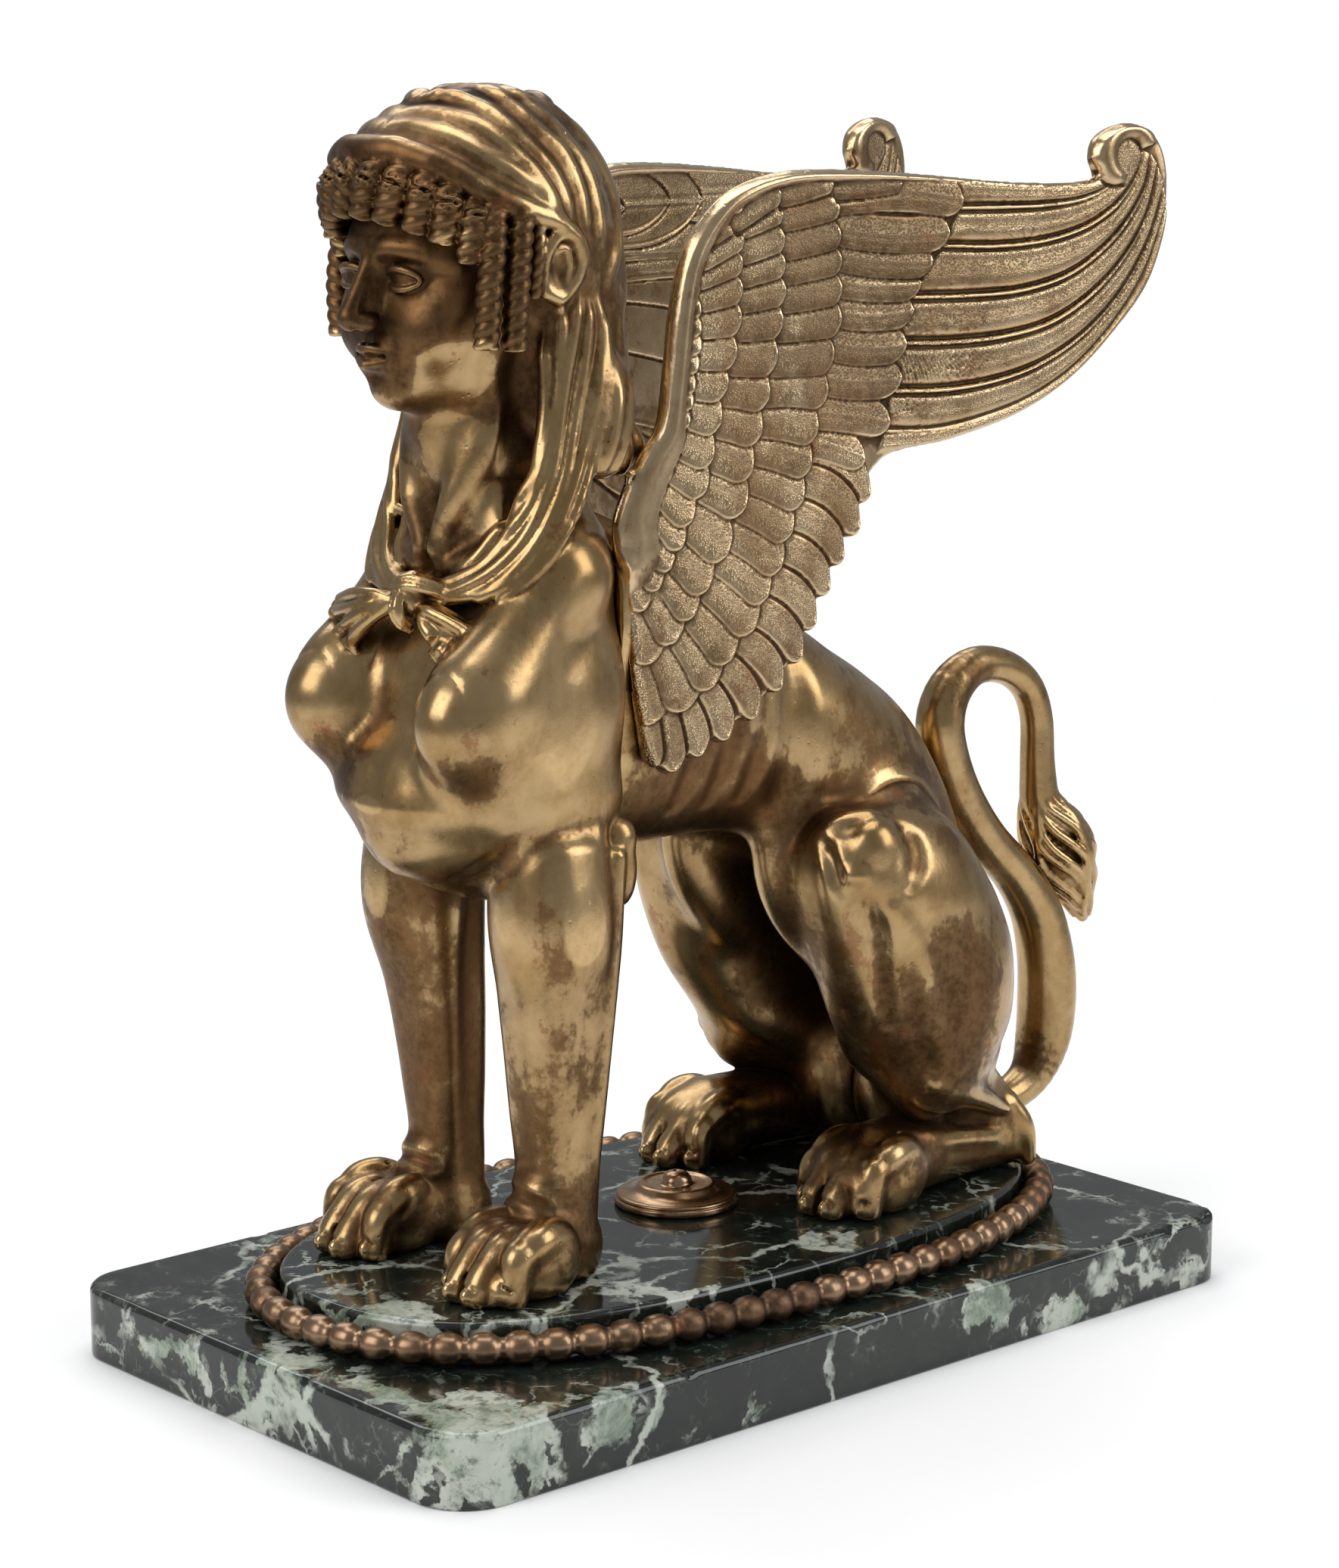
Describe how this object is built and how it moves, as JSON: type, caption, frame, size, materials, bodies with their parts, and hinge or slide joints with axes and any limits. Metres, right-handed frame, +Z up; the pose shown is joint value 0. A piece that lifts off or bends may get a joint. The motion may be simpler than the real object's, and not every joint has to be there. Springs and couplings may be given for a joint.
{
  "type": "seated winged sphinx statue",
  "caption": "Seated winged sphinx in cast bronze, with a woman's head and veil, a lion's body and a curled tail, on an oval marble step with a bead border and a marble plinth.",
  "frame": {"origin": "centre of the plinth's underside", "axes": "+Z up, the sphinx looks along -Y, its left side is +X"},
  "size_m": [0.1474, 0.2746, 0.2985],
  "materials": {
    "marble": "polished green-black marble with white and pale green veins",
    "step_marble": "polished green-black marble with thin pale veins",
    "bead_bronze": "reddish-brown patina, worn bright on the crowns",
    "boss_bronze": "reddish-brown patina, turned",
    "figure_bronze": "polished gilt bronze with a mottled brown patina, worn gold in patches",
    "body_bronze": "polished gilt bronze with a mottled brown patina",
    "wing_bronze": "gilt bronze, feathers matted with fine punch work"
  },
  "bodies": {
    "root": {"marble_plinth": "marble", "oval_marble_step": "step_marble", "bead_ring": "bead_bronze", "rosette_boss": "boss_bronze", "sphinx_front": "figure_bronze", "sphinx_body": "body_bronze", "wing_left": "wing_bronze", "wing_right": "wing_bronze"}
  },
  "joints": []
}
